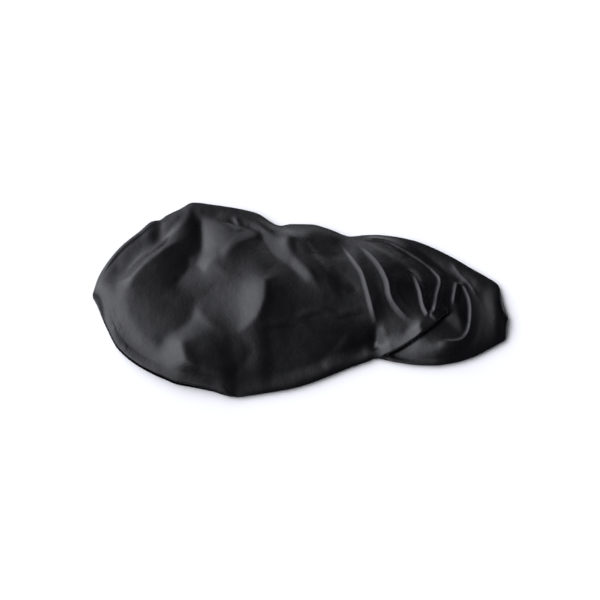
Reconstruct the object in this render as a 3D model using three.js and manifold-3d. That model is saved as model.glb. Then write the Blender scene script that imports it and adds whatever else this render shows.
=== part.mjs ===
// Black satin hair bonnet, lying on its side as it was put down.
// It is a long soft bag: a puffed crown on the left, a half twist, and a flat tail on the right.
// An upper and a lower panel meet along the rim seam, and a casing hems the mouth for the head.
// Millimetres: +X runs from the crown to the tail, +Y to the back, +Z up from the surface it lies on.

import * as THREE from 'three';
import Module from 'manifold-3d';
import { mergeVertices } from 'three/addons/utils/BufferGeometryUtils.js';

// Driving sizes
const CLOTH = 2.2; // wall of a panel, measured straight up
const PIECE_GAP = 0.3; // clear distance between neighbouring pieces
const RIM_HEIGHT = 5.5; // height of the rim seam over the surface
const RIM_ROLL = 36; // distance in from the rim at which the underside reaches the surface
const RIM_EASE = 34; // stretch of the length over which the rim is averaged for the arch inside it
const RIM_EASE_SAMPLES = 9; // places in that stretch
const NOTCH_REACH = 60; // distance in from the rim at which a notch in it no longer shows
const FOLD_MARGIN = 16; // distance in from the rim at which a fold has its full height
const LAP_SLOPE = 10; // distance from a lap's path at which its step is complete
const FOLD_TAPER = 0.18; // share of a fold's length over which each end dies away
const CASING_WIDTH = 13; // width of the hem round the mouth
const CASING_EXTRA = 0.5; // cloth that the casing adds on each of its faces
const CASING_FADE = 26; // length over which the casing narrows into the end of the mouth
const CASING_LEAST = 1.6; // narrowest strip of casing that is still made
const CASING_SHARE = 0.45; // largest share of a section's width that the casing takes
const MOUTH_END = -88; // the mouth runs along the front rim from the crown's tip to here

const UPPER_ROWS = 28; // cells across the upper panel
const LOWER_ROWS = 8; // cells across the lower panel
const CASING_ROWS = 2; // cells across each strip of the casing
const PATH_SAMPLES = 60; // points along a fold's path
const RIM_SAMPLES = 240; // points along the rim for measuring distances to it

const SATIN_COLOUR = 0x1b1b1e;

// Sections from the crown's tip to the tail's end. front and back are the rim's places, crown is the
// height of the cloth between them, and fullness how flat its arch is: 2 is round, and more is flatter.
const SECTIONS = [
  { x: -289, front: 1, back: 8, crown: 12, fullness: 2.0 },
  { x: -283, front: -10, back: 30, crown: 21, fullness: 2.1 },
  { x: -271, front: -40, back: 54, crown: 31, fullness: 2.2 },
  { x: -252, front: -77, back: 80, crown: 37.5, fullness: 2.2 },
  { x: -226, front: -101, back: 104, crown: 41, fullness: 2.2 },
  { x: -208, front: -112, back: 120, crown: 41.5, fullness: 2.2 },
  { x: -197, front: -118, back: 122, crown: 42, fullness: 2.2 },
  { x: -190, front: -121, back: 128, crown: 42.5, fullness: 2.2 },
  { x: -170, front: -130, back: 139, crown: 43, fullness: 2.2 },
  { x: -151, front: -134, back: 149.5, crown: 43.5, fullness: 2.2 },
  { x: -123, front: -140, back: 146, crown: 43.5, fullness: 2.2 },
  { x: -88, front: -149.5, back: 140, crown: 43.5, fullness: 2.2 },
  { x: -62, front: -146, back: 133, crown: 43.5, fullness: 2.2 },
  { x: -27, front: -140, back: 113, crown: 42.5, fullness: 2.2 },
  { x: -12, front: -137, back: 115.5, crown: 42, fullness: 2.2 },
  { x: 16, front: -128, back: 115, crown: 41.5, fullness: 2.2 },
  { x: 40, front: -118, back: 108, crown: 41, fullness: 2.2 },
  { x: 72, front: -104, back: 96, crown: 40, fullness: 2.2 },
  { x: 91, front: -97, back: 98, crown: 39.5, fullness: 2.2 },
  { x: 105, front: -91.5, back: 98.5, crown: 39, fullness: 2.2 },
  { x: 128, front: -96, back: 96.5, crown: 38, fullness: 2.2 },
  { x: 160, front: -101, back: 89.5, crown: 37, fullness: 2.2 },
  { x: 184, front: -102, back: 79.5, crown: 35.5, fullness: 2.2 },
  { x: 215, front: -97.5, back: 62.5, crown: 32.5, fullness: 2.2 },
  { x: 240, front: -89, back: 46, crown: 29, fullness: 2.2 },
  { x: 262, front: -77, back: 32, crown: 24, fullness: 2.2 },
  { x: 277, front: -68, back: 20, crown: 19, fullness: 2.1 },
  { x: 284, front: -63, back: -9, crown: 15, fullness: 2.0 },
  { x: 289, front: -37, back: -28, crown: 12, fullness: 2.0 },
];

// Stretches of the length and the number of cells along each: closest at the ends and the twist.
const STRETCHES = [
  { from: -289, to: -271, cells: 4 },
  { from: -271, to: -151, cells: 13 },
  { from: -151, to: -88, cells: 6 },
  { from: -88, to: 60, cells: 14 },
  { from: 60, to: 240, cells: 27 },
  { from: 240, to: 289, cells: 7 },
];

// How far the mouth's upper lip stands above its lower lip.
const MOUTH_LIFT = [
  { x: -289, lift: 0 },
  { x: -268, lift: 16.5 },
  { x: -240, lift: 21.5 },
  { x: -200, lift: 16.5 },
  { x: -150, lift: 11.5 },
  { x: -110, lift: 7.5 },
  { x: MOUTH_END, lift: 0 },
];

// Ridges of the twist, each a crest along a path from the front to the back.
// left and right are the widths of its flanks: left faces the crown, and right the tail.
const RIDGES = [
  {
    name: 'fold of the second lobe',
    rise: 2,
    left: 18,
    right: 16,
    path: [[61, -17], [37, 7], [17, 51], [0, 93]],
  },
  {
    name: 'first ridge of the neck',
    rise: 6,
    left: 13,
    right: 24,
    path: [[113, -55], [100, -31], [96, -11], [88, 14], [79, 38], [58, 72]],
  },
  {
    name: 'second ridge of the neck',
    rise: 7,
    left: 13,
    right: 18,
    path: [[160, -45], [145, -33], [128, -12], [120, 20], [106, 51], [85, 71], [64, 89]],
  },
  {
    name: 'left side of the loop',
    rise: 5,
    left: 11,
    right: 12,
    path: [[178, -37], [170, -18], [167, 1], [160, 17], [142, 41]],
  },
  {
    name: 'right side of the loop',
    rise: 5,
    left: 11,
    right: 14,
    path: [[178, -37], [189, -8], [196, 24], [184, 46], [152, 69], [120, 87], [103, 90]],
  },
  {
    name: 'arch of the tail',
    rise: 5,
    left: 11,
    right: 16,
    path: [[188, -76], [205, -71], [228, -64], [237, -35], [235, 5], [221, 24]],
  },
];

// Laps, where the cloth on the left of a path lies over the cloth on its right.
// drop is the step down, and reach is how far from the path it dies away.
const LAPS = [
  {
    name: 'crown over the second lobe',
    drop: 7,
    reach: 40,
    path: [[7, 34], [-11, 65], [-14, 90], [-27, 113]],
  },
  {
    name: 'neck over the hollow of the tail',
    drop: 11,
    reach: 40,
    path: [[142, 41], [128, 54], [109, 66], [88, 80], [72, 96]],
  },
  {
    name: 'neck over the tail',
    drop: 14,
    reach: 60,
    path: [[106, -92], [128, -84], [152, -74], [175, -60], [195, -41], [210, -25], [216, -14]],
  },
];

// Hollows pressed into the cloth. along and across are half sizes, turned from +X in degrees.
// A negative depth is a swell.
const HOLLOWS = [
  { name: 'dish of the crown', x: -154, y: 30, along: 42, across: 95, turn: 0, depth: 5 },
  { name: 'dent at the back of the crown', x: -45, y: 60, along: 24, across: 28, turn: 20, depth: 3 },
  { name: 'swell behind the tip', x: -224, y: -8, along: 28, across: 64, turn: 0, depth: -3 },
  { name: 'swell in the middle', x: -52, y: -20, along: 44, across: 50, turn: 0, depth: -6 },
  { name: 'swell beside the second lobe', x: 8, y: 44, along: 46, across: 24, turn: 120, depth: -4 },
  { name: 'swell at the front', x: -150, y: -98, along: 42, across: 28, turn: 0, depth: -4 },
  { name: 'inside of the loop', x: 180, y: 7, along: 38, across: 16, turn: 105, depth: 6 },
  { name: 'under the upper lap', x: 152, y: 57, along: 42, across: 18, turn: -35, depth: 5 },
];

/** Value of a table's column at x, by a monotone cubic between the rows. */
function rowValue(table, column, x) {
  const last = table.length - 1;
  let k = 0;
  while (k < last - 1 && x > table[k + 1].x) k += 1;
  const secant = (i) => (table[i + 1][column] - table[i][column]) / (table[i + 1].x - table[i].x);
  const tangent = (i) => {
    if (i === 0) return secant(0);
    if (i === last) return secant(last - 1);
    const before = secant(i - 1);
    const after = secant(i);
    return before * after <= 0 ? 0 : (2 * before * after) / (before + after);
  };
  const step = table[k + 1].x - table[k].x;
  const u = THREE.MathUtils.clamp((x - table[k].x) / step, 0, 1);
  const start = table[k][column];
  const end = table[k + 1][column];
  const rest = 1 - u;
  return start * rest * rest * (1 + 2 * u) + end * u * u * (3 - 2 * u)
    + step * (tangent(k) * u * rest * rest - tangent(k + 1) * u * u * rest);
}

const tipX = SECTIONS[0].x;
const endX = SECTIONS[SECTIONS.length - 1].x;
const section = (column, x) => rowValue(SECTIONS, column, x);
const frontRim = (x) => section('front', x);
const backRim = (x) => section('back', x);

/** A section's column averaged over a stretch either side of x, to keep a notch in the rim at the rim. */
function easedSection(column, x) {
  const reach = Math.min(RIM_EASE, x - tipX, endX - x);
  let total = 0;
  for (let k = 0; k < RIM_EASE_SAMPLES; k += 1) {
    total += section(column, x + reach * ((2 * k) / (RIM_EASE_SAMPLES - 1) - 1));
  }
  return total / RIM_EASE_SAMPLES;
}

const mouthLift = (x) => (x < MOUTH_END ? rowValue(MOUTH_LIFT, 'lift', x) : 0);

/** Width of the casing at x, measured along Y, or 0 past the end of the mouth. */
function casingDepth(x) {
  if (x >= MOUTH_END) return 0;
  const slope = (frontRim(x + 1) - frontRim(x - 1)) / 2;
  const full = CASING_WIDTH * Math.hypot(1, slope);
  const fade = THREE.MathUtils.smoothstep(MOUTH_END - x, 0, CASING_FADE);
  return Math.min(full * fade, CASING_SHARE * (backRim(x) - frontRim(x)));
}

// The rim as a closed ring of points, for measuring how far in a point lies.
const rimRing = [];
for (let k = 0; k <= RIM_SAMPLES; k += 1) {
  const x = THREE.MathUtils.lerp(tipX, endX, k / RIM_SAMPLES);
  rimRing.push(new THREE.Vector2(x, frontRim(x)), new THREE.Vector2(x, backRim(x)));
}

function distanceToRim(x, y) {
  const point = new THREE.Vector2(x, y);
  return Math.min(...rimRing.map((rim) => rim.distanceTo(point)));
}

/** Points along a fold's path, evenly spaced. */
function samplePath(path) {
  const curve = new THREE.CatmullRomCurve3(path.map(([x, y]) => new THREE.Vector3(x, y, 0)));
  return curve.getSpacedPoints(PATH_SAMPLES);
}

const ridgePaths = RIDGES.map((ridge) => ({ ...ridge, points: samplePath(ridge.path) }));
const lapPaths = LAPS.map((lap) => ({ ...lap, points: samplePath(lap.path) }));

/** Distance from a path, positive on its left, and how far along it, from 0 to 1. */
function nearestOnPath(points, x, y) {
  let nearest = 0;
  let least = Infinity;
  points.forEach((point, k) => {
    const distance = Math.hypot(point.x - x, point.y - y);
    if (distance < least) {
      least = distance;
      nearest = k;
    }
  });
  const before = points[Math.max(nearest - 1, 0)];
  const after = points[Math.min(nearest + 1, points.length - 1)];
  const turn = (after.x - before.x) * (y - before.y) - (after.y - before.y) * (x - before.x);
  return { offset: least * Math.sign(turn), along: nearest / (points.length - 1) };
}

const fadeAtEnds = (along) => THREE.MathUtils.smoothstep(Math.min(along, 1 - along), 0, FOLD_TAPER);

/** A bump that is 1 at 0 and dies away smoothly at 1. */
const bump = (r) => (r < 1 ? (1 - r * r) ** 2 : 0);

/** Height that the ridges, laps and hollows add at a point of the upper panel. */
function foldHeight(x, y) {
  let height = 0;
  for (const ridge of ridgePaths) {
    const { offset, along } = nearestOnPath(ridge.points, x, y);
    const width = offset >= 0 ? ridge.left : ridge.right;
    height += ridge.rise * bump(Math.abs(offset) / width) * fadeAtEnds(along);
  }
  for (const lap of lapPaths) {
    const { offset, along } = nearestOnPath(lap.points, x, y);
    const step = Math.sin((Math.PI / 2) * THREE.MathUtils.clamp(offset / LAP_SLOPE, -1, 1));
    height += 0.5 * lap.drop * step * bump(Math.abs(offset) / lap.reach) * fadeAtEnds(along);
  }
  for (const hollow of HOLLOWS) {
    const turn = THREE.MathUtils.degToRad(hollow.turn);
    const dx = x - hollow.x;
    const dy = y - hollow.y;
    const along = (dx * Math.cos(turn) + dy * Math.sin(turn)) / hollow.along;
    const across = (dy * Math.cos(turn) - dx * Math.sin(turn)) / hollow.across;
    height -= hollow.depth * bump(Math.hypot(along, across));
  }
  return height;
}

/** Height of the arch, from 0 at the rim to 1 in the middle. */
const archHeight = (x, share) => 1 - Math.abs(2 * share - 1) ** section('fullness', x);

/** How far y lies across from the front to the back, from 0 to 1. */
const shareAcross = (front, y, back) => THREE.MathUtils.clamp((y - front) / (back - front), 0, 1);

/** Height of the upper panel's inner face. */
function upperInside(x, y) {
  const inset = distanceToRim(x, y);
  const share = shareAcross(frontRim(x), y, backRim(x));
  const eased = shareAcross(easedSection('front', x), y, easedSection('back', x));
  const inside = THREE.MathUtils.smoothstep(inset, 0, NOTCH_REACH);
  const arch = THREE.MathUtils.lerp(archHeight(x, share), archHeight(x, eased), inside);
  const rim = RIM_HEIGHT + PIECE_GAP + mouthLift(x) * (1 - share);
  const folds = foldHeight(x, y) * THREE.MathUtils.smoothstep(inset, 0, FOLD_MARGIN);
  return rim + Math.max(easedSection('crown', x) - CLOTH - rim, 0) * arch + folds;
}

/** Height of the lower panel's outer face, which is flat on the surface away from the rim. */
function lowerOutside(x, y) {
  const rise = 1 - Math.min(distanceToRim(x, y) / RIM_ROLL, 1);
  return (RIM_HEIGHT - CLOTH) * rise * rise;
}

/** Closed sheet between two height functions, over stations along X and cells across Y. */
function sheetGeometry({ stations, cells, from, to, bottom, top }) {
  const across = cells + 1;
  const layer = stations.length * across;
  const positions = [];
  for (const heightAt of [bottom, top]) {
    for (const x of stations) {
      for (let j = 0; j < across; j += 1) {
        const y = THREE.MathUtils.lerp(from(x), to(x), j / cells);
        positions.push(x, y, heightAt(x, y));
      }
    }
  }
  const index = [];
  const quad = (a, b, c, d) => index.push(a, b, c, a, c, d);
  const at = (i, j) => i * across + j;
  const last = stations.length - 1;
  for (let i = 0; i < last; i += 1) {
    for (let j = 0; j < cells; j += 1) {
      quad(at(i, j), at(i, j + 1), at(i + 1, j + 1), at(i + 1, j));
      quad(layer + at(i, j), layer + at(i + 1, j), layer + at(i + 1, j + 1), layer + at(i, j + 1));
    }
    quad(at(i, 0), at(i + 1, 0), layer + at(i + 1, 0), layer + at(i, 0));
    quad(at(i + 1, cells), at(i, cells), layer + at(i, cells), layer + at(i + 1, cells));
  }
  for (let j = 0; j < cells; j += 1) {
    quad(at(0, j + 1), at(0, j), layer + at(0, j), layer + at(0, j + 1));
    quad(at(last, j), at(last, j + 1), layer + at(last, j + 1), layer + at(last, j));
  }
  const geometry = new THREE.BufferGeometry();
  geometry.setAttribute('position', new THREE.Float32BufferAttribute(positions, 3));
  geometry.setIndex(index);
  return geometry;
}

const wasm = await Module();
wasm.setup();

/** The join of two closed geometries that overlap. */
function joined(first, second) {
  const [one, two] = [first, second].map((geometry) => {
    const merged = mergeVertices(geometry);
    return new wasm.Manifold(new wasm.Mesh({
      numProp: 3,
      vertProperties: new Float32Array(merged.attributes.position.array),
      triVerts: new Uint32Array(merged.index.array),
    }));
  });
  const mesh = one.add(two).getMesh();
  const geometry = new THREE.BufferGeometry();
  geometry.setAttribute('position', new THREE.Float32BufferAttribute(mesh.vertProperties, 3));
  geometry.setIndex([...mesh.triVerts]);
  return geometry;
}

const stations = [tipX];
for (const { from, to, cells } of STRETCHES) {
  for (let k = 1; k <= cells; k += 1) stations.push(THREE.MathUtils.lerp(from, to, k / cells));
}
const mouthStations = stations.filter((x) => casingDepth(x) >= CASING_LEAST);

const panelFront = (x) => frontRim(x) + casingDepth(x) + PIECE_GAP * Math.min(casingDepth(x), 1);
const casingBack = (x) => frontRim(x) + casingDepth(x);

function upperPanelGeometry() {
  return sheetGeometry({
    stations,
    cells: UPPER_ROWS,
    from: panelFront,
    to: backRim,
    bottom: upperInside,
    top: (x, y) => upperInside(x, y) + CLOTH,
  });
}

function lowerPanelGeometry() {
  return sheetGeometry({
    stations,
    cells: LOWER_ROWS,
    from: panelFront,
    to: backRim,
    bottom: lowerOutside,
    top: (x, y) => lowerOutside(x, y) + CLOTH,
  });
}

/** The hem: a strip along each lip of the mouth, joined where the lips meet. */
function mouthCasingGeometry() {
  const strip = (inner, outer) => sheetGeometry({
    stations: mouthStations,
    cells: CASING_ROWS,
    from: frontRim,
    to: casingBack,
    bottom: inner,
    top: outer,
  });
  const upperLip = strip(
    (x, y) => upperInside(x, y) - CASING_EXTRA,
    (x, y) => upperInside(x, y) + CLOTH + CASING_EXTRA,
  );
  const lowerLip = strip(
    (x, y) => lowerOutside(x, y) - CASING_EXTRA,
    (x, y) => lowerOutside(x, y) + CLOTH + CASING_EXTRA,
  );
  return joined(upperLip, lowerLip);
}

function satinMesh(name, geometry, roughness) {
  geometry.computeVertexNormals();
  const material = new THREE.MeshStandardMaterial({ color: SATIN_COLOUR, roughness, metalness: 0 });
  const mesh = new THREE.Mesh(geometry, material);
  mesh.name = name;
  return mesh;
}

const bonnet = new THREE.Group();
bonnet.add(satinMesh('upper_panel', upperPanelGeometry(), 0.4));
bonnet.add(satinMesh('lower_panel', lowerPanelGeometry(), 0.4));
bonnet.add(satinMesh('mouth_casing', mouthCasingGeometry(), 0.5));

export default bonnet;
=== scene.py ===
"""Black satin hair bonnet lying on its side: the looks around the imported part.

The cloth is a height over the plan of the bonnet: an arch from rim to rim at each section along the
length, with leaning facets, ridges and laps laid on it from short tables.
Sizes are in millimetres in the part's own frame until a mesh is written in metres.
"""

import logging
import math
from dataclasses import dataclass
from enum import Enum
from typing import Any

import bpy
import numpy as np
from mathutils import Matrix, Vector


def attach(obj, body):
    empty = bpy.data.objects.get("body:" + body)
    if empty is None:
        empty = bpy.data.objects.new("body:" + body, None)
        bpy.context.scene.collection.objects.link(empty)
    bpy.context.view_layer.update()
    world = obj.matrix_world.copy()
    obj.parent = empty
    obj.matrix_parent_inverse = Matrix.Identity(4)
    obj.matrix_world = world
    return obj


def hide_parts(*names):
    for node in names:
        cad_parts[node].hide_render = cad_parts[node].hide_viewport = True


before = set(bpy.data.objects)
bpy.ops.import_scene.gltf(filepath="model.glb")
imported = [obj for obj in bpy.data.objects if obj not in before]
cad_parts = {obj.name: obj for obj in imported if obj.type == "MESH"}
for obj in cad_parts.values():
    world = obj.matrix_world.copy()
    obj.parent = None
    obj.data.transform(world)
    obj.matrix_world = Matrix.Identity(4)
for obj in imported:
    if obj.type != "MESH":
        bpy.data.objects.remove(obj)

LOG = logging.getLogger("bonnet")

MM = 0.001

TAUT_POWER = 1.4  # how a taut fold falls from its crest: 1 is straight, and 2 a creased ridge
OVERHANG_PEAK = 3.5  # brings the greatest sideways move of a lap to its overhang
SHARP_ANGLE = math.radians(75)  # an edge that turns by more than this is shaded sharp

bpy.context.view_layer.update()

Array = np.ndarray
Plan = tuple[float, float]


class Slot(Enum):
    """The record's material slots."""

    SATIN = "satin"
    HEM = "satin_hem"


class Lip(Enum):
    """The two lips of the mouth."""

    UPPER = "upper"
    LOWER = "lower"


class Profile(Enum):
    """How a ridge is rounded: at its crest and feet, at its feet only, or hardly, as a taut fold."""

    ROUND = "round"
    CREASED = "creased"
    TAUT = "taut"

    def height(self, reach: Array) -> Array:
        """Height of the ridge, as a share of its rise.

        Args:
            reach: how far from the crest, 0, to the foot, 1.

        Returns:
            The shares, 1 at the crest and 0 at the foot and past it.
        """
        inside = np.clip(reach, 0, 1)
        if self is Profile.TAUT:
            return (1 - inside) ** TAUT_POWER
        if self is Profile.CREASED:
            return (1 - inside) ** 2
        return (1 - inside**2) ** 2


@dataclass(frozen=True)
class Section:
    """A section across the bonnet: its place, its rim at the front and back, and its arch's height."""

    x: float
    front: float
    back: float
    crown: float


@dataclass(frozen=True)
class Lift:
    """How far the mouth's upper lip stands above the lower one at a place along the length."""

    x: float
    lift: float


@dataclass(frozen=True)
class Ridge:
    """A crest along a path. left and right are its flanks' widths, seen walking along the path.

    A negative rise is a groove, and fade_in and fade_out are the shares of the path over which its two
    ends die away.
    """

    name: str
    rise: float
    left: float
    right: float
    path: tuple[Plan, ...]
    profile: Profile = Profile.ROUND
    fade_in: float = 0.2
    fade_out: float = 0.2


@dataclass(frozen=True)
class Lap:
    """A step along a path, where the cloth on its left lies over the cloth on its right.

    drop is the step's height, slope half its width, reach how far it dies away to either side, and
    overhang how far the upper cloth is moved over the lower.
    """

    name: str
    drop: float
    reach: float
    slope: float
    overhang: float
    path: tuple[Plan, ...]
    fade_in: float = 0.18
    fade_out: float = 0.18


@dataclass(frozen=True)
class Facet:
    """A patch of cloth that leans: in degrees towards the crown's tip on the left, and towards the back.

    edge is the width over which the lean dies away about the outline, and growth the width over which it
    grows from the outline's left end, where 0 is at once.
    """

    name: str
    lean_left: float
    lean_back: float
    edge: float
    outline: tuple[Plan, ...]
    growth: float = 0.0

    def inside(self, x: Array, y: Array) -> Array:
        """How far inside the outline points lie, as a share from 0 to 1.

        Args:
            x: places along the length.
            y: places across it.

        Returns:
            The shares, one half on the outline itself.
        """
        within = np.zeros(len(x), bool)
        for (from_x, from_y), (to_x, to_y) in zip(self.outline, self.outline[1:] + self.outline[:1]):
            if from_y != to_y:
                crossing = from_x + (y - from_y) * (to_x - from_x) / (to_y - from_y)
                within ^= ((from_y > y) != (to_y > y)) & (x < crossing)
        ring = PlanLine(np.array(self.outline + self.outline[:1], float))
        depth = np.abs(ring.measure(x, y)[0]) * np.where(within, 1, -1)
        share = smooth(self.edge, depth + self.edge / 2)
        if self.growth:
            share = share * smooth(self.growth, x - min(place[0] for place in self.outline))
        return share


SECTIONS = (
    Section(-289, 1, 8, 11),
    Section(-283, -10, 30, 16),
    Section(-271, -40, 54, 20.5),
    Section(-252, -77, 80, 25),
    Section(-226, -101, 104, 30),
    Section(-208, -112, 120, 33),
    Section(-197, -118, 122, 34.5),
    Section(-190, -121, 128, 35.5),
    Section(-170, -130, 139, 38),
    Section(-151, -134, 149.5, 40),
    Section(-123, -140, 146, 41.5),
    Section(-88, -149.5, 140, 42),
    Section(-62, -146, 133, 41.5),
    Section(-27, -140, 113, 38),
    Section(-12, -137, 115.5, 36.5),
    Section(16, -128, 115, 35),
    Section(40, -118, 108, 34),
    Section(72, -104, 96, 33),
    Section(91, -97, 98, 33),
    Section(105, -91.5, 98.5, 33),
    Section(128, -96, 96.5, 31),
    Section(160, -101, 89.5, 26.5),
    Section(184, -102, 79.5, 21.5),
    Section(215, -97.5, 62.5, 16.5),
    Section(240, -89, 46, 14),
    Section(262, -77, 32, 14),
    Section(277, -68, 20, 13.5),
    Section(284, -63, -9, 11.5),
    Section(289, -37, -28, 8.5),
)

MOUTH_END = -88.0

MOUTH_LIFTS = (
    Lift(-289, 0),
    Lift(-268, 8),
    Lift(-240, 9),
    Lift(-200, 9),
    Lift(-150, 7.5),
    Lift(-110, 5),
    Lift(MOUTH_END, 0),
)

# Facets of the cloth: those that lean left catch the light, and those that lean right are dark.
FACETS = (
    Facet("grey rim at the back of the tip", -15, 0, 10,
          ((-161, 146), (-192, 120), (-223, 92), (-265, 54), (-279, 20), (-248, 30), (-227, 60), (-197, 77),
           (-169, 127))),
    Facet("bright line behind the rim", 16, -4, 8,
          ((-157, 140), (-180, 109), (-197, 75), (-227, 58), (-237, 46), (-232, 28), (-218, 48), (-195, 66),
           (-173, 104), (-156, 128))),
    Facet("bright front of the crown", 18, 0, 10,
          ((-255, -70), (-250, -130), (-174, -165), (-98, -165), (-110, -138), (-143, -119), (-157, -104),
           (-166, -78), (-192, -83), (-223, -65))),
    Facet("bright column", 25, -2, 6,
          ((-140, 124), (-112, 115), (-84, 97), (-101, 69), (-119, 53), (-133, 32), (-146, 44), (-137, 67),
           (-137, 96))),
    Facet("arm of the column", 16, 0, 6,
          ((-112, 64), (-84, 97), (-58, 107), (-56, 94), (-84, 79), (-108, 53))),
    Facet("bright band at the back", 30, 4, 8,
          ((-122, 143), (-91, 140), (-56, 129), (-28, 114), (-39, 102), (-63, 105), (-80, 118),
           (-98, 128))),
    Facet("bright middle", 32, 0, 7,
          ((-150, -20), (-116, 8), (-84, 13), (-47, 17), (-48, -19), (-59, -45), (-80, -62), (-112, -68),
           (-157, -51)), growth=90),
    Facet("bright trail of the middle", 24, 0, 14,
          ((-143, -29), (-112, -60), (-143, -71), (-166, -78), (-192, -83), (-185, -71), (-157, -51))),
    Facet("bright streak", 20, -2, 7,
          ((-56, 105), (-32, 109), (-13, 90), (-11, 62), (7, 38), (19, 18), (7, 13), (-18, 40), (-40, 62),
           (-53, 84))),
    Facet("top of the bright streak", 16, 0, 7,
          ((-60, 112), (-30, 112), (-14, 92), (-22, 72), (-50, 80))),
    Facet("tip of the bright streak", 12, 0, 5, ((-7, 51), (9, 36), (28, -5), (3, 19), (-14, 39))),
    Facet("bright back of the neck", 20, 0, 10, ((45, 93), (73, 88), (83, 44), (71, 57))),
    Facet("bright front of the twist", 42, 4, 9,
          ((106, -50), (122, -60), (143, -60), (164, -48), (166, -64), (160, -70), (174, -72), (192, -76),
           (210, -86), (204, -132), (92, -132), (102, -84))),
    Facet("end of the tail", 12, 0, 26,
          ((228, 60), (310, 40), (310, -80), (250, -104), (236, -60), (238, -14))),
    Facet("bright back of the tail", 17, 0, 10,
          ((150, 95), (200, 75), (240, 50), (262, 35), (240, 15), (222, 36), (196, 46), (170, 68))),
    Facet("dark streak at the back", -22, 0, 5,
          ((-143, 139), (-126, 134), (-98, 123), (-89, 104), (-112, 117), (-140, 130))),
    Facet("dark back of the oval", -24, 0, 7,
          ((-178, 101), (-157, 117), (-141, 118), (-138, 68), (-157, 57), (-154, 42), (-174, 9), (-237, 4),
           (-230, 28), (-195, 64))),
    Facet("dark front of the oval", -9, 0, 12,
          ((-241, 1), (-174, 7), (-143, -6), (-150, -36), (-167, -59), (-199, -74), (-220, -60),
           (-237, -34))),
    Facet("dark patch at the back", -10, 0, 7,
          ((-66, 95), (-55, 88), (-49, 69), (-32, 45), (-46, 25), (-80, 19), (-101, 27), (-119, 42),
           (-84, 79))),
    Facet("dark corner at the front", -16, 0, 20,
          ((-164, -78), (-133, -70), (-96, -70), (-100, -98), (-143, -116), (-157, -104))),
    Facet("dark patch at the front", -16, -2, 9,
          ((-162, -78), (-133, -69), (-86, -68), (-66, -89), (-84, -115), (-101, -136), (-143, -119),
           (-157, -104))),
    Facet("dark front of the waist", -9, 0, 44,
          ((-112, -60), (-20, -56), (-10, -118), (-55, -170), (-120, -170))),
    Facet("dark fall of the waist", -12, 0, 16,
          ((-86, -58), (-44, -56), (-36, -110), (-48, -165), (-104, -165), (-82, -112))),
    Facet("soft light of the waist", 6, 0, 24,
          ((-44, 10), (30, -5), (95, -25), (100, -60), (60, -70), (-40, -58))),
    Facet("low back of the second lobe", 0, -7, 12,
          ((-30, 125), (60, 120), (85, 90), (60, 60), (20, 55), (-5, 70))),
    Facet("dark front of the neck", -11, 0, 6,
          ((104, -44), (120, -56), (143, -56), (156, -46), (138, -28), (122, -8), (108, -5), (100, -20))),
    Facet("dark side of the second ridge", -13, 0, 6,
          ((132, 0), (150, -24), (170, -36), (166, -10), (158, 12), (138, 24))),
    Facet("dark hollow behind the neck", -14, -8, 10,
          ((100, 82), (125, 66), (146, 44), (160, 35), (150, 62), (125, 82))),
    Facet("dark side of the arch", -18, 0, 6, ((196, -20), (204, -28), (212, -10), (215, 12), (204, 15))),
    Facet("dark groove of the lobe", -16, -3, 6,
          ((2, 102), (14, 102), (28, 74), (47, 44), (66, 18), (78, 0), (66, -4), (52, 12), (32, 38),
           (14, 68))),
    Facet("dark side of the lobe", -7, 0, 8,
          ((-6, 85), (8, 86), (42, 25), (63, -14), (35, -5), (11, 38))),
    Facet("dark inside of the loop", -16, -2, 6,
          ((146, 38), (162, 22), (171, -7), (178, -35), (188, -16), (195, 23), (181, 45), (157, 63),
           (122, 81))),
    Facet("dark inside of the arch", -16, 0, 5,
          ((221, 19), (232, 11), (237, -11), (232, -55), (225, -53), (219, -25), (216, -4))),
)

# Crests and grooves of the crown. One that runs across the length is walked from the front to the back,
# so its left is towards the crown's tip. One that runs along it is walked towards the tip, so its left
# is the front, apart from the puckers, which are walked in from the hem and are even on both sides.
CROWN_RIDGES = (
    Ridge("flat seam edge of the tip", -9, 33, 26,
          ((-268, 4), (-254, 32), (-234, 58), (-208, 82), (-188, 99), (-165, 116)),
          fade_in=0.3, fade_out=0.3),
    Ridge("roll of the back edge", 1.3, 10, 15, ((-30, 97), (-60, 110), (-90, 121), (-120, 129))),
    Ridge("pinch at the back", 1.5, 5, 8, ((-85, 97), (-87, 112), (-93, 127)), Profile.CREASED),
    Ridge("first crease of the waist", 1.0, 7, 9,
          ((97, -28), (72, -31), (51, -36), (26, -31), (-10, -43))),
    Ridge("second crease of the waist", 1.2, 8, 11,
          ((68, -54), (44, -55), (12, -53), (-13, -49), (-60, -56))),
    Ridge("soft swell of the waist", 1.2, 12, 20,
          ((30, -108), (40, -100), (53, -88), (63, -75), (75, -62))),
    Ridge("first pucker of the hem", 0.5, 5, 5, ((-268, -26), (-256, -27))),
    Ridge("second pucker of the hem", 0.5, 5, 5, ((-260, -50), (-248, -47))),
    Ridge("third pucker of the hem", 0.5, 5, 5, ((-250, -82), (-238, -78))),
)

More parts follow.
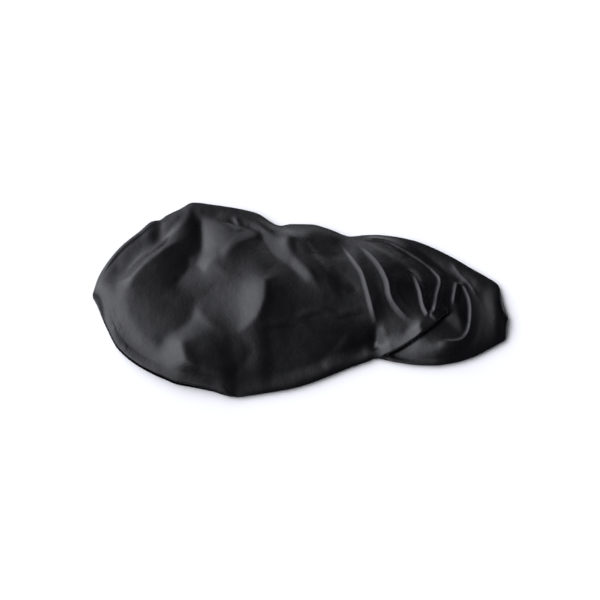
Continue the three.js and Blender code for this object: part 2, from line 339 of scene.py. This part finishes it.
# Crests and grooves of the twist, walked from the front to the back.
TWIST_RIDGES = (
    Ridge("fold of the second lobe", 1.1, 14, 16, ((59, -16), (45, 4), (28, 40), (9, 67), (-4, 99))),
    Ridge("groove of the second lobe", -1.2, 11, 12, ((69, 1), (59, 13), (38, 41), (21, 71), (9, 101))),
    Ridge("first ridge of the neck", 2.1, 6, 17,
          ((109, -55), (101, -29), (94, 0), (87, 28), (79, 44), (69, 62), (56, 83)), Profile.TAUT),
    Ridge("second ridge of the neck", 2.8, 7.5, 16,
          ((162, -47), (143, -33), (127, -11), (122, 15), (111, 42), (97, 63), (76, 85)), Profile.TAUT),
    Ridge("left side of the loop", 2.4, 5.5, 10, ((178, -37), (171, -20), (167, 5), (158, 30), (143, 39)),
          Profile.TAUT, fade_in=0.05, fade_out=0.35),
    Ridge("right side of the loop", 2.9, 5.5, 13,
          ((178, -37), (186, -28), (191, -2), (196, 25), (188, 40), (171, 56), (143, 75), (118, 88),
           (87, 91)),
          Profile.TAUT, fade_in=0.03, fade_out=0.08),
    Ridge("left side of the arch", 2.6, 5.5, 9, ((212, -20), (216, 4), (220, 25)),
          Profile.TAUT, fade_in=0.4, fade_out=0.1),
    Ridge("right side of the arch", 2.4, 5.5, 13,
          ((188, -76), (201, -73), (214, -72), (225, -67), (233, -55), (237, -34), (237, -7), (230, 16),
           (220, 26)),
          Profile.TAUT, fade_in=0.12, fade_out=0.08),
    Ridge("shoulder of the tail", 1.3, 9, 24, ((253, -23), (248, -3), (237, 21), (223, 38), (210, 59)),
          Profile.CREASED, fade_in=0.4),
)

LAPS = (
    Lap("crown over the second lobe", 2, 40, 8, 0, ((28, -6), (7, 34), (-11, 65), (-14, 90), (-27, 113)),
        fade_in=0.7, fade_out=0.3),
    Lap("neck over the hollow of the tail", 1.4, 40, 6, 0, ((146, 38), (125, 61), (101, 78), (80, 91)),
        fade_out=0.4),
    Lap("neck over the tail", 9, 60, 5, 3,
        ((108, -92), (136, -81), (160, -68), (181, -53), (198, -36), (213, -21))),
)


def smooth(edge: float, value: Array) -> Array:
    """A smooth step from 0 at value 0 to 1 at value edge."""
    share = np.clip(value / edge, 0, 1)
    return share * share * (3 - 2 * share)


def monotone(xs: Array, ys: Array, x: Array) -> Array:
    """A cubic through points that doesn't overshoot between them.

    Args:
        xs: places of the points, rising.
        ys: values at the points.
        x: places to read.

    Returns:
        The values at x.
    """
    step = np.diff(xs)
    secant = np.diff(ys) / step
    tangent = np.zeros_like(ys)
    tangent[0] = secant[0]
    tangent[-1] = secant[-1]
    same_way = secant[:-1] * secant[1:] > 0
    total = np.where(same_way, secant[:-1] + secant[1:], 1)
    tangent[1:-1] = np.where(same_way, 2 * secant[:-1] * secant[1:] / total, 0)
    before = np.clip(np.searchsorted(xs, x) - 1, 0, len(step) - 1)
    after = before + 1
    way = np.clip((x - xs[before]) / step[before], 0, 1)
    rest = 1 - way
    value = ys[before] * rest**2 * (1 + 2 * way) + ys[after] * way**2 * (3 - 2 * way)
    return value + step[before] * (tangent[before] * way * rest**2 - tangent[after] * way**2 * rest)


def smooth_path(points: tuple[Plan, ...], steps: int = 12) -> Array:
    """Points of a smooth curve through a few plan points.

    Args:
        points: the points that it passes through.
        steps: points of the curve from each given point to the next.

    Returns:
        The curve's points, in order.
    """
    given = np.array(points, float)
    padded = np.vstack([2 * given[0] - given[1], given, 2 * given[-1] - given[-2]])
    way = np.arange(steps)[:, None] / steps
    stretches = []
    for before, start, end, after in zip(padded, padded[1:], padded[2:], padded[3:]):
        bend = 2 * before - 5 * start + 4 * end - after
        turn = 3 * start - before - 3 * end + after
        stretches.append(0.5 * (2 * start + (end - before) * way + bend * way**2 + turn * way**3))
    return np.vstack([*stretches, given[-1:]])


class PlanLine:
    """A line of points in the plan, and where other points lie from it."""

    # Points that are measured at a time.
    CHUNK = 8000

    def __init__(self, points: Array) -> None:
        """Measures the line.

        Args:
            points: its points, in order.
        """
        self.start = points[:-1]
        self.run = np.diff(points, axis=0)
        self.length = np.linalg.norm(self.run, axis=1)
        self.reached = np.concatenate([[0], np.cumsum(self.length)]) / self.length.sum()

    def measure(self, x: Array, y: Array) -> tuple[Array, Array, Array]:
        """Where points lie from the line.

        Args:
            x: places along the length.
            y: places across it.

        Returns:
            The distance, positive on the left, the share of the line reached, and the way to its left.
        """
        starts = range(0, len(x), self.CHUNK)
        chunks = [slice(start, start + self.CHUNK) for start in starts]
        parts = [self._measure(x[chunk], y[chunk]) for chunk in chunks]
        offset, reached, left = zip(*parts)
        return np.concatenate(offset), np.concatenate(reached), np.concatenate(left)

    def _measure(self, x: Array, y: Array) -> tuple[Array, Array, Array]:
        """Measures a chunk of points against every stretch of the line.

        Args:
            x: places along the length.
            y: places across it.

        Returns:
            What measure gives, for these points.
        """
        dx = x[:, None] - self.start[:, 0]
        dy = y[:, None] - self.start[:, 1]
        way = np.clip((dx * self.run[:, 0] + dy * self.run[:, 1]) / self.length**2, 0, 1)
        square = (dx - way * self.run[:, 0]) ** 2 + (dy - way * self.run[:, 1]) ** 2
        best = square.argmin(1)
        row = np.arange(len(x))
        side = self.run[best, 0] * dy[row, best] - self.run[best, 1] * dx[row, best]
        reached = self.reached[best] + way[row, best] * (self.reached[best + 1] - self.reached[best])
        left = np.stack([-self.run[best, 1], self.run[best, 0]], 1) / self.length[best][:, None]
        return np.sqrt(square[row, best]) * np.where(side >= 0, 1, -1), reached, left


class RimLine:
    """The rim seam that the two panels share, and the mouth along its front."""

    # Points along each side of the rim, and the stretch either side over which a column is averaged.
    SAMPLES = 400
    EASE = 34.0
    EASE_SAMPLES = 9

    def __init__(self) -> None:
        """Reads the tables and lays points along the rim."""
        self.x = np.array([section.x for section in SECTIONS], float)
        self.columns = {name: np.array([getattr(section, name) for section in SECTIONS], float)
                        for name in ("front", "back", "crown")}
        self.lift_x = np.array([row.x for row in MOUTH_LIFTS], float)
        self.lifts = np.array([row.lift for row in MOUTH_LIFTS], float)
        along = np.linspace(self.x[0], self.x[-1], self.SAMPLES)
        front = np.stack([along, self.at("front", along)], 1)
        back = np.stack([along, self.at("back", along)], 1)
        self.ring = PlanLine(np.vstack([front, back[::-1], front[:1]]))

    def at(self, column: str, x: Array) -> Array:
        """A column of the sections' table at places along the length."""
        return monotone(self.x, self.columns[column], x)

    def eased(self, column: str, x: Array) -> Array:
        """A column averaged over a stretch either side, so that a notch in the rim stays at the rim.

        Args:
            column: name of the column.
            x: places along the length.

        Returns:
            The averages at x.
        """
        reach = np.minimum(self.EASE, np.minimum(x - self.x[0], self.x[-1] - x))
        shares = np.linspace(-1, 1, self.EASE_SAMPLES)
        return np.mean([self.at(column, x + share * reach) for share in shares], axis=0)

    def lift(self, x: Array) -> Array:
        """The mouth's lift, which is 0 past its end."""
        return np.where(x < MOUTH_END, monotone(self.lift_x, self.lifts, x), 0)

    def inset(self, x: Array, y: Array) -> Array:
        """How far in from the rim points lie."""
        return np.abs(self.ring.measure(x, y)[0])


def ends_fade(fold: Ridge | Lap, reached: Array) -> Array:
    """How much of a fold is left along its path, from 0 at its two ends to 1."""
    return smooth(fold.fade_in, reached) * smooth(fold.fade_out, 1 - reached)


class LeaningRelief:
    """The gentle relief that gives each facet its lean: the surface whose slopes come nearest to them."""

    # Two corners of the lattice, and the distance between its points.
    LOW = (-330.0, -190.0)
    HIGH = (330.0, 190.0)
    SPACING = 1.5

    def __init__(self) -> None:
        """Adds up the facets' slopes on a lattice and finds the surface in a sine series."""
        x = np.arange(self.LOW[0], self.HIGH[0], self.SPACING)
        y = np.arange(self.LOW[1], self.HIGH[1], self.SPACING)
        plan_x, plan_y = (part.ravel() for part in np.meshgrid(x, y, indexing="ij"))
        slope_x = np.zeros(plan_x.shape)
        slope_y = np.zeros(plan_x.shape)
        for facet in FACETS:
            inside = facet.inside(plan_x, plan_y)
            slope_x += math.tan(math.radians(facet.lean_left)) * inside
            slope_y -= math.tan(math.radians(facet.lean_back)) * inside
        shape = (len(x), len(y))
        spread = (np.gradient(slope_x.reshape(shape), self.SPACING, axis=0)
                  + np.gradient(slope_y.reshape(shape), self.SPACING, axis=1))
        self.height = self._solve(spread)

    def _solve(self, spread: Array) -> Array:
        """The surface that is 0 at the lattice's border and has the given sum of second slopes.

        Args:
            spread: the sums, on the lattice.

        Returns:
            The heights, on the lattice.
        """
        waves = []
        sharpness = []
        for count in spread.shape:
            wave = np.arange(1, count + 1)
            waves.append(np.sin(np.pi * np.outer(wave, wave) / (count + 1)) * math.sqrt(2 / (count + 1)))
            sharpness.append((2 - 2 * np.cos(np.pi * wave / (count + 1))) / self.SPACING**2)
        series = waves[0] @ spread @ waves[1]
        return waves[0] @ (-series / (sharpness[0][:, None] + sharpness[1])) @ waves[1]

    def at(self, x: Array, y: Array) -> Array:
        """Heights at plan places, by a smooth cubic over the lattice.

        Args:
            x: places along the length.
            y: places across it.

        Returns:
            The heights.
        """
        cell_x, part_x = self._cell(x, 0)
        cell_y, part_y = self._cell(y, 1)
        total = np.zeros_like(x)
        for i, weight_x in enumerate(part_x):
            for j, weight_y in enumerate(part_y):
                total += weight_x * weight_y * self.height[cell_x + i - 1, cell_y + j - 1]
        return total

    def _cell(self, place: Array, axis: int) -> tuple[Array, tuple[Array, ...]]:
        """The lattice cell of each place, and the weights of the four lattice points about it.

        Args:
            place: places along one axis.
            axis: 0 along the length, and 1 across it.

        Returns:
            The cells, and four weights for each.
        """
        steps = (place - self.LOW[axis]) / self.SPACING
        cell = np.clip(steps.astype(int), 1, self.height.shape[axis] - 3)
        way = steps - cell
        weights = ((1 - way) ** 3,
                   3 * way**3 - 6 * way**2 + 4,
                   -3 * way**3 + 3 * way**2 + 3 * way + 1,
                   way**3)
        return cell, tuple(weight / 6 for weight in weights)


def grid_object(name: str, layers: list[Array]) -> bpy.types.Object:
    """A closed mesh between two grids of points.

    Args:
        name: name of the piece.
        layers: the upper and the lower grid, stations by rows by 3, in millimetres.

    Returns:
        The piece, in metres, smooth shaded, with its plan as a UV map.
    """
    stations, rows, _ = layers[0].shape
    number = np.arange(stations * rows).reshape(stations, rows)
    under = number.size
    top = np.stack([number[:-1, :-1], number[1:, :-1], number[1:, 1:], number[:-1, 1:]], -1).reshape(-1, 4)
    border = np.concatenate([number[:-1, 0], number[-1, :-1], number[:0:-1, -1], number[0, :0:-1]])
    after = np.roll(border, -1)
    edge = np.stack([after, border, border + under, after + under], -1)
    faces = np.concatenate([top, top[:, ::-1] + under, edge])
    points = np.concatenate([layer.reshape(-1, 3) for layer in layers]) * MM
    mesh = bpy.data.meshes.new(name)
    mesh.from_pydata(points.tolist(), [], faces.tolist())
    mesh.shade_smooth()
    mesh.set_sharp_from_angle(angle=SHARP_ANGLE)
    corner = np.empty(len(mesh.loops), np.int32)
    mesh.loops.foreach_get("vertex_index", corner)
    weave = mesh.uv_layers.new(name="weave")
    weave.data.foreach_set("uv", points[corner][:, :2].astype(np.float32).ravel())
    piece = bpy.data.objects.new(name, mesh)
    bpy.context.scene.collection.objects.link(piece)
    return piece


def set_back(grid: Array, thickness: float) -> Array:
    """A grid of points set back along its normals by a cloth's thickness.

    Args:
        grid: stations by rows by 3.
        thickness: how far.

    Returns:
        The grid of the cloth's other face.
    """
    shortest = 1e-9
    normal = np.cross(np.gradient(grid, axis=0), np.gradient(grid, axis=1))
    length = np.linalg.norm(normal, axis=2, keepdims=True)
    return grid - thickness * normal / np.maximum(length, shortest)


@dataclass
class Cloth:
    """What the pieces share: the rim, the cloth and the heights of its two sides."""

    rim: RimLine
    relief: LeaningRelief
    rim_height: float = 5.5
    thickness: float = 1.0
    # The lower panel rises to the rim over this width.
    rim_roll: float = 36.0
    # Distances in from the rim at which a fold, a notch's ease and the relief have their full effect.
    fold_margin: float = 8.0
    notch_reach: float = 60.0
    front_margin: float = 26.0
    back_margin: float = 30.0
    # Past the mouth the cloth stands up a little as it rolls over at the front rim. The roll grows over
    # its start from the mouth's end, and dies away over its end at the tail and over its share of the
    # width at the back.
    front_roll: float = 4.0
    front_roll_width: float = 9.0
    front_roll_start: float = 40.0
    front_roll_end: float = 20.0
    front_roll_share: float = 0.5
    # The casing narrows over its fade to the mouth's end, and is never more than its share of the width.
    casing_width: float = 13.0
    casing_fade: float = 26.0
    casing_share: float = 0.45
    # Stations lie closer together near the two ends and in the twist.
    end_reach: float = 8.0
    end_extra: float = 4.0
    twist_start: float = 40.0
    twist_end: float = 255.0
    twist_blend: float = 20.0
    twist_extra: float = 2.0
    fine_steps: int = 4000

    def casing_depth(self, x: Array) -> Array:
        """Width of the casing across the length.

        Args:
            x: places along the length.

        Returns:
            The widths, 0 past the end of the mouth.
        """
        slope = (self.rim.at("front", x + 1) - self.rim.at("front", x - 1)) / 2
        full = self.casing_width * np.hypot(1, slope) * smooth(self.casing_fade, MOUTH_END - x)
        most = self.casing_share * (self.rim.at("back", x) - self.rim.at("front", x))
        return np.where(x < MOUTH_END, np.minimum(full, most), 0)

    def stations(self, count: int) -> Array:
        """Places along the length, closest at the two ends and closer in the twist.

        Args:
            count: number of stations.

        Returns:
            The places, from the crown's tip to the tail's end.
        """
        start, end = self.rim.x[0], self.rim.x[-1]
        fine = np.linspace(start, end, self.fine_steps)
        tips = np.exp(-(fine - start) / self.end_reach) + np.exp(-(end - fine) / self.end_reach)
        entering = smooth(self.twist_blend, fine - self.twist_start)
        twist = entering * smooth(self.twist_blend, self.twist_end - fine)
        total = np.cumsum(1 + self.end_extra * tips + self.twist_extra * twist)
        return np.interp(np.linspace(total[0], total[-1], count), total, fine)

    def plan(self, stations: int, rows: int) -> tuple[Array, Array]:
        """Plan places of a panel's grid.

        Args:
            stations: number of stations along the length.
            rows: number of rows across it.

        Returns:
            The places along and across, as two arrays of stations by rows.
        """
        x = self.stations(stations)
        start = self.rim.at("front", x) + self.casing_depth(x)
        end = self.rim.at("back", x)
        y = start[:, None] + (end - start)[:, None] * np.linspace(0, 1, rows)
        return np.repeat(x[:, None], rows, 1), y

    def upper_height(self, x: Array, y: Array) -> Array:
        """Height of the upper panel's outer face.

        Args:
            x: places along the length.
            y: places across it.

        Returns:
            The heights.
        """
        inset = self.rim.inset(x, y)
        inside = smooth(self.notch_reach, inset)
        share = self._share(self.rim.at("front", x), y, self.rim.at("back", x))
        eased = self._share(self.rim.eased("front", x), y, self.rim.eased("back", x))
        lip = self.rim_height + self.thickness + self.rim.lift(x) * (1 - share)
        arch = (1 - inside) * np.sin(np.pi * share) + inside * np.sin(np.pi * eased)
        rise = np.maximum(self.rim.eased("crown", x) - lip, 0) * arch
        folds = self.fold_height(x, y) * smooth(self.fold_margin, inset)
        margin = self.front_margin + (self.back_margin - self.front_margin) * smooth(1, share)
        relief = self.relief.at(x, y) * smooth(1, inset / margin)
        return lip + rise + folds + relief + self._roll(x, share, inset)

    def _roll(self, x: Array, share: Array, inset: Array) -> Array:
        """How far the cloth stands up as it rolls over at the front rim, past the mouth.

        Args:
            x: places along the length.
            share: how far across, from 0 to 1.
            inset: how far in from the rim.

        Returns:
            The heights that the roll adds.
        """
        along = smooth(self.front_roll_start, x - MOUTH_END)
        along = along * smooth(self.front_roll_end, self.rim.x[-1] - x)
        place = along * smooth(self.front_roll_share, 1 - share)
        return self.front_roll * (1 - np.exp(-inset / self.front_roll_width)) * place

    @staticmethod
    def _share(front: Array, y: Array, back: Array) -> Array:
        """How far across from the front rim to the back one, from 0 to 1."""
        return np.clip((y - front) / (back - front), 0, 1)

    def fold_height(self, x: Array, y: Array) -> Array:
        """Height that the ridges and laps add.

        Args:
            x: places along the length.
            y: places across it.

        Returns:
            The heights.
        """
        height = np.zeros_like(x)
        for ridge in CROWN_RIDGES + TWIST_RIDGES:
            offset, reached, _ = PlanLine(smooth_path(ridge.path)).measure(x, y)
            width = np.where(offset >= 0, ridge.left, ridge.right)
            height += ridge.rise * ridge.profile.height(np.abs(offset) / width) * ends_fade(ridge, reached)
        for lap in LAPS:
            offset, reached, _ = PlanLine(smooth_path(lap.path)).measure(x, y)
            step = np.sin(np.pi / 2 * np.clip(offset / lap.slope, -1, 1))
            near = Profile.ROUND.height(np.abs(offset) / lap.reach) * ends_fade(lap, reached)
            height += 0.5 * lap.drop * step * near
        return height

    def overhang(self, x: Array, y: Array) -> tuple[Array, Array]:
        """Sideways moves that lay each lap's upper cloth over its lower cloth.

        Args:
            x: places along the length.
            y: places across it.

        Returns:
            The moves along and across.
        """
        move = np.zeros((len(x), 2))
        for lap in LAPS:
            offset, reached, left = PlanLine(smooth_path(lap.path)).measure(x, y)
            part = np.clip(offset / (2 * lap.slope), -1, 1)
            amount = OVERHANG_PEAK * lap.overhang * part * (1 - part * part) ** 2 * ends_fade(lap, reached)
            move -= left * amount[:, None]
        return move[:, 0], move[:, 1]

    def lower_height(self, x: Array, y: Array) -> Array:
        """Height of the lower panel's outer face, flat on the surface away from the rim."""
        rise = 1 - np.minimum(self.rim.inset(x, y) / self.rim_roll, 1)
        return (self.rim_height - self.thickness) * rise * rise


def linear(colour: str) -> tuple[float, float, float, float]:
    """An sRGB hex colour as linear light.

    Args:
        colour: six hex digits.

    Returns:
        Red, green and blue from 0 to 1, and an alpha of 1.
    """
    parts = [int(colour[start:start + 2], 16) / 255 for start in (0, 2, 4)]
    light = [part / 12.92 if part <= 0.04045 else ((part + 0.055) / 1.055) ** 2.4 for part in parts]
    return (*light, 1.0)


def add_node(tree: bpy.types.NodeTree, kind: str, settings: dict[str, Any],
             inputs: dict[str, Any]) -> bpy.types.Node:
    """Adds a node to a material.

    Args:
        tree: the material's nodes.
        kind: Blender's name for the node.
        settings: its own properties.
        inputs: for each socket a value, or another node's output to link.

    Returns:
        The node.
    """
    node = tree.nodes.new(kind)
    for name, value in settings.items():
        setattr(node, name, value)
    for name, value in inputs.items():
        if isinstance(value, bpy.types.NodeSocket):
            tree.links.new(value, node.inputs[name])
        else:
            node.inputs[name].default_value = value
    return node


@dataclass(frozen=True)
class SatinFinish:
    """Woven polyester satin: long floats lie side by side, so light glides off it in soft bands."""

    name: str = "black_satin_woven"
    colour: str = "0d0d0f"
    roughness_low: float = 0.2
    roughness_high: float = 0.29
    specular: float = 0.34
    # A satin's threads are about 0.1 mm, too fine to show, so the grain is drawn 18 times as coarse.
    float_length_mm: float = 4.0
    thread_mm: float = 1.8
    grain_depth_mm: float = 0.2
    rumple_mm: float = 24.0
    rumple_depth_mm: float = 0.7
    mottle_mm: float = 16.0
    # The part of the mottle from its low to its high takes the gloss from the one roughness to the other.
    mottle_low: float = 0.3
    mottle_high: float = 0.7

    def material(self) -> bpy.types.Material:
        """Makes the material.

        Returns:
            The satin, with the grain of its floats as bump and an uneven gloss.
        """
        material = bpy.data.materials.new(self.name)
        material.use_nodes = True
        tree = material.node_tree
        place = add_node(tree, "ShaderNodeTexCoord", {}, {}).outputs["UV"]
        along = 1 / (self.float_length_mm * MM)
        across = 1 / (self.thread_mm * MM)
        threads = add_node(tree, "ShaderNodeMapping", {}, {"Vector": place, "Scale": (along, across, 1)})
        grain = add_node(tree, "ShaderNodeTexNoise", {}, {
            "Vector": threads.outputs["Vector"], "Scale": 1.0, "Detail": 2.0})
        rumple = add_node(tree, "ShaderNodeTexNoise", {}, {
            "Vector": place, "Scale": 1 / (self.rumple_mm * MM), "Detail": 2.0})
        soft = add_node(tree, "ShaderNodeBump", {}, {
            "Height": rumple.outputs["Fac"], "Strength": 1.0, "Distance": self.rumple_depth_mm * MM})
        relief = add_node(tree, "ShaderNodeBump", {}, {
            "Height": grain.outputs["Fac"], "Strength": 1.0, "Distance": self.grain_depth_mm * MM,
            "Normal": soft.outputs["Normal"]})
        mottle = add_node(tree, "ShaderNodeTexNoise", {}, {
            "Vector": place, "Scale": 1 / (self.mottle_mm * MM), "Detail": 3.0})
        gloss = add_node(tree, "ShaderNodeMapRange", {}, {
            "Value": mottle.outputs["Fac"], "From Min": self.mottle_low, "From Max": self.mottle_high,
            "To Min": self.roughness_low, "To Max": self.roughness_high})
        shader = tree.nodes["Principled BSDF"]
        shader.inputs["Base Color"].default_value = linear(self.colour)
        shader.inputs["Specular IOR Level"].default_value = self.specular
        tree.links.new(gloss.outputs["Result"], shader.inputs["Roughness"])
        tree.links.new(relief.outputs["Normal"], shader.inputs["Normal"])
        return material


@dataclass(frozen=True)
class PaperFinish:
    """Backdrop paper, rolled matt: it spreads the light evenly and has no gloss of its own."""

    name: str = "backdrop_paper_matt"
    colour: str = "f6f6f6"
    roughness: float = 0.9
    specular: float = 0.1

    def material(self) -> bpy.types.Material:
        """Makes the material.

        Returns:
            The paper, plain all over.
        """
        material = bpy.data.materials.new(self.name)
        material.use_nodes = True
        shader = material.node_tree.nodes["Principled BSDF"]
        shader.inputs["Base Color"].default_value = linear(self.colour)
        shader.inputs["Roughness"].default_value = self.roughness
        shader.inputs["Specular IOR Level"].default_value = self.specular
        return material


@dataclass
class ClothPiece:
    """A piece of the bonnet, the node that it stands for, and the slot that it takes its finish from."""

    cloth: Cloth
    node: str
    slot: Slot

    def dress(self, piece: bpy.types.Object, satin: bpy.types.Material) -> None:
        """Gives the piece its finish and ties it to its node.

        Args:
            piece: the finished mesh.
            satin: its material.
        """
        piece.data.materials.clear()
        piece.data.materials.append(satin)
        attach(piece, "root")
        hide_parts(self.node)


@dataclass
class UpperPanel(ClothPiece):
    """The satin of the upper side: crown, twist and tail."""

    node: str = "upper_panel"
    slot: Slot = Slot.SATIN
    stations: int = 340
    rows: int = 140
    # The cut before sewing, in metres: the outline with its gathers and seam allowance.
    cut: tuple[float, float] = (0.34, 0.62)
    cut_area: float = 0.14

    def build(self) -> bpy.types.Object:
        """Builds the panel's mesh.

        Returns:
            The panel, with its folds and laps.
        """
        x, y = self.cloth.plan(self.stations, self.rows)
        flat_x, flat_y = x.ravel(), y.ravel()
        z = self.cloth.upper_height(flat_x, flat_y)
        move_x, move_y = self.cloth.overhang(flat_x, flat_y)
        grid = np.stack([flat_x + move_x, flat_y + move_y, z], 1).reshape(self.stations, self.rows, 3)
        return grid_object("satin_upper_panel", [grid, set_back(grid, self.cloth.thickness)])


@dataclass
class LowerPanel(ClothPiece):
    """The satin of the underside, which lies on the surface."""

    node: str = "lower_panel"
    slot: Slot = Slot.SATIN
    stations: int = 200
    rows: int = 60
    # The cut before sewing, in metres: the outline with its seam allowance.
    cut: tuple[float, float] = (0.33, 0.61)
    cut_area: float = 0.13

    def build(self) -> bpy.types.Object:
        """Builds the panel's mesh.

        Returns:
            The panel, flat on the surface away from its rim.
        """
        x, y = self.cloth.plan(self.stations, self.rows)
        z = self.cloth.lower_height(x.ravel(), y.ravel()).reshape(x.shape)
        outer = np.stack([x, y, z], 2)
        inner = outer + np.array([0, 0, self.cloth.thickness])
        return grid_object("satin_lower_panel", [inner, outer])


@dataclass
class MouthCasing(ClothPiece):
    """The hem round the mouth, with an upper and a lower lip."""

    node: str = "mouth_casing"
    slot: Slot = Slot.HEM
    stations: int = 160
    rows: int = 9
    puff: float = 0.4
    # How far short of the mouth's end the lips stop.
    end_gap: float = 4.0

    def build(self) -> bpy.types.Object:
        """Builds both lips.

        Returns:
            The lips as one piece.
        """
        strips = [self._lip(lip) for lip in Lip]
        with bpy.context.temp_override(active_object=strips[0], selected_editable_objects=strips):
            bpy.ops.object.join()
        strips[0].name = "satin_mouth_casing"
        return strips[0]

    def _lip(self, lip: Lip) -> bpy.types.Object:
        """One lip's strip, puffed in the middle of its width.

        Args:
            lip: which of the two.

        Returns:
            The strip.
        """
        cloth = self.cloth
        x = np.linspace(cloth.rim.x[0], MOUTH_END - self.end_gap, self.stations)
        share = np.linspace(0, 1, self.rows)
        y = cloth.rim.at("front", x)[:, None] + cloth.casing_depth(x)[:, None] * share
        x = np.repeat(x[:, None], self.rows, 1)
        puff = self.puff * np.sin(np.pi * share)
        if lip is Lip.UPPER:
            over = cloth.upper_height(x.ravel(), y.ravel()).reshape(x.shape) + puff
            under = over - cloth.thickness - 2 * puff
        else:
            under = cloth.lower_height(x.ravel(), y.ravel()).reshape(x.shape) - puff
            over = under + cloth.thickness + 2 * puff
        return grid_object(f"lip_{lip.value}", [np.stack([x, y, over], 2), np.stack([x, y, under], 2)])


@dataclass
class Studio:
    """The pale floor, the soft light of the surround and the camera."""

    paper: PaperFinish = PaperFinish()
    floor_size: float = 8.0
    # The surround is brightest on the left. Each row gives a share of the way and a share of the light:
    # from left to right, and from front to back, where it fades before the horizon.
    surround: float = 5.5
    surround_tint: str = "f6f7ff"
    left_to_right: tuple[tuple[float, float], ...] = (
        (0.0, 0.1), (0.05, 0.3), (0.075, 0.6), (0.107, 0.85), (0.153, 0.95), (0.209, 0.8), (0.273, 0.6),
        (0.345, 0.42), (0.42, 0.24), (0.5, 0.11), (0.58, 0.05), (0.7, 0.02), (1.0, 0.015))
    front_to_back: tuple[tuple[float, float], ...] = (
        (0.0, 0.04), (0.05, 0.05), (0.146, 0.22), (0.21, 0.52), (0.273, 0.75), (0.37, 0.95), (0.5, 1.0),
        (0.71, 1.0), (0.9, 0.9), (0.955, 0.4), (0.985, 0.1), (1.0, 0.05))
    # Behind the bonnet the floor sweeps up into a pale cove, whose light fades upwards.
    cove: float = 1.2
    cove_rows: tuple[tuple[float, float], ...] = (
        (0.0, 0.0), (0.5, 0.0), (0.925, 0.0), (0.953, 0.25), (0.973, 0.75), (0.985, 1.0), (1.0, 0.4))
    lens: float = 180.0
    sensor: float = 36.0
    elevation: float = 65.0
    frame_width: float = 836.4 * MM
    aim: tuple[float, float, float] = (0.0, -0.0023, 0.0055)

    def build(self) -> None:
        """Makes the floor, the light and the camera."""
        self._floor()
        self._world()
        self._camera()
        bpy.context.scene.view_settings.view_transform = "Standard"

    def _floor(self) -> None:
        """A plain pale floor."""
        half = self.floor_size / 2
        corners = [(-half, -half, 0), (half, -half, 0), (half, half, 0), (-half, half, 0)]
        mesh = bpy.data.meshes.new("floor")
        mesh.from_pydata(corners, [], [(0, 1, 2, 3)])
        floor = bpy.data.objects.new("floor", mesh)
        bpy.context.scene.collection.objects.link(floor)
        mesh.materials.append(self.paper.material())

    def _world(self) -> None:
        """A wall of soft light on the left that fades to a dim room on the right, and the pale cove."""
        world = bpy.data.worlds.new("studio")
        world.use_nodes = True
        tree = world.node_tree
        place = add_node(tree, "ShaderNodeTexCoord", {}, {}).outputs["Generated"]
        axes = add_node(tree, "ShaderNodeSeparateXYZ", {}, {"Vector": place}).outputs
        across = self._fade(tree, axes["X"], self.left_to_right)
        deep = self._fade(tree, axes["Y"], self.front_to_back)
        both = add_node(tree, "ShaderNodeMath", {"operation": "MULTIPLY"}, {0: across, 1: deep})
        behind = self._fade(tree, axes["Y"], self.cove_rows)
        pale = add_node(tree, "ShaderNodeMath", {"operation": "MULTIPLY"}, {0: behind, 1: self.cove})
        strength = add_node(tree, "ShaderNodeMath", {"operation": "MULTIPLY_ADD"},
                            {0: both.outputs["Value"], 1: self.surround, 2: pale.outputs["Value"]})
        background = tree.nodes["Background"]
        background.inputs["Color"].default_value = linear(self.surround_tint)
        tree.links.new(strength.outputs["Value"], background.inputs["Strength"])
        bpy.context.scene.world = world

    def _fade(self, tree: bpy.types.NodeTree, along: bpy.types.NodeSocket,
              rows: tuple[tuple[float, float], ...]) -> bpy.types.NodeSocket:
        """The surround's light along one of its axes.

        Args:
            tree: the world's nodes.
            along: the axis, from -1 to 1.
            rows: shares of the way along it, each with its share of the light.

        Returns:
            The output that gives the share of the light.
        """
        way = add_node(tree, "ShaderNodeMapRange", {}, {"Value": along, "From Min": -1.0, "From Max": 1.0})
        fade = add_node(tree, "ShaderNodeFloatCurve", {}, {"Value": way.outputs["Result"]})
        points = fade.mapping.curves[0].points
        for number, row in enumerate(rows):
            if number >= len(points):
                points.new(*row)
            points[number].location = row
        fade.mapping.update()
        return fade.outputs["Value"]

    def _camera(self) -> None:
        """The camera at the photograph's angle, framed as its 600 by 600 pixels."""
        data = bpy.data.cameras.new("camera")
        data.lens = self.lens
        data.sensor_width = self.sensor
        camera = bpy.data.objects.new("camera", data)
        tilt = math.radians(self.elevation)
        direction = Vector((0, -math.cos(tilt), math.sin(tilt)))
        camera.location = Vector(self.aim) + direction * (self.frame_width * self.lens / self.sensor)
        camera.rotation_euler = direction.to_track_quat("Z", "Y").to_euler()
        bpy.context.scene.collection.objects.link(camera)
        bpy.context.scene.camera = camera


def main() -> None:
    """Builds the bonnet and its studio, and reports the pieces."""
    logging.basicConfig(level=logging.INFO)
    cloth = Cloth(RimLine(), LeaningRelief())
    satin = SatinFinish().material()
    hem = SatinFinish(name="black_satin_hem").material()
    upper_panel = UpperPanel(cloth)
    lower_panel = LowerPanel(cloth)
    mouth_casing = MouthCasing(cloth)
    upper = upper_panel.build()
    lower = lower_panel.build()
    casing = mouth_casing.build()
    upper_panel.dress(upper, satin)
    lower_panel.dress(lower, satin)
    mouth_casing.dress(casing, hem)
    Studio().build()
    for piece in (upper, lower, casing):
        LOG.info("%s: %d faces", piece.name, len(piece.data.polygons))


if __name__ == "__main__":
    main()
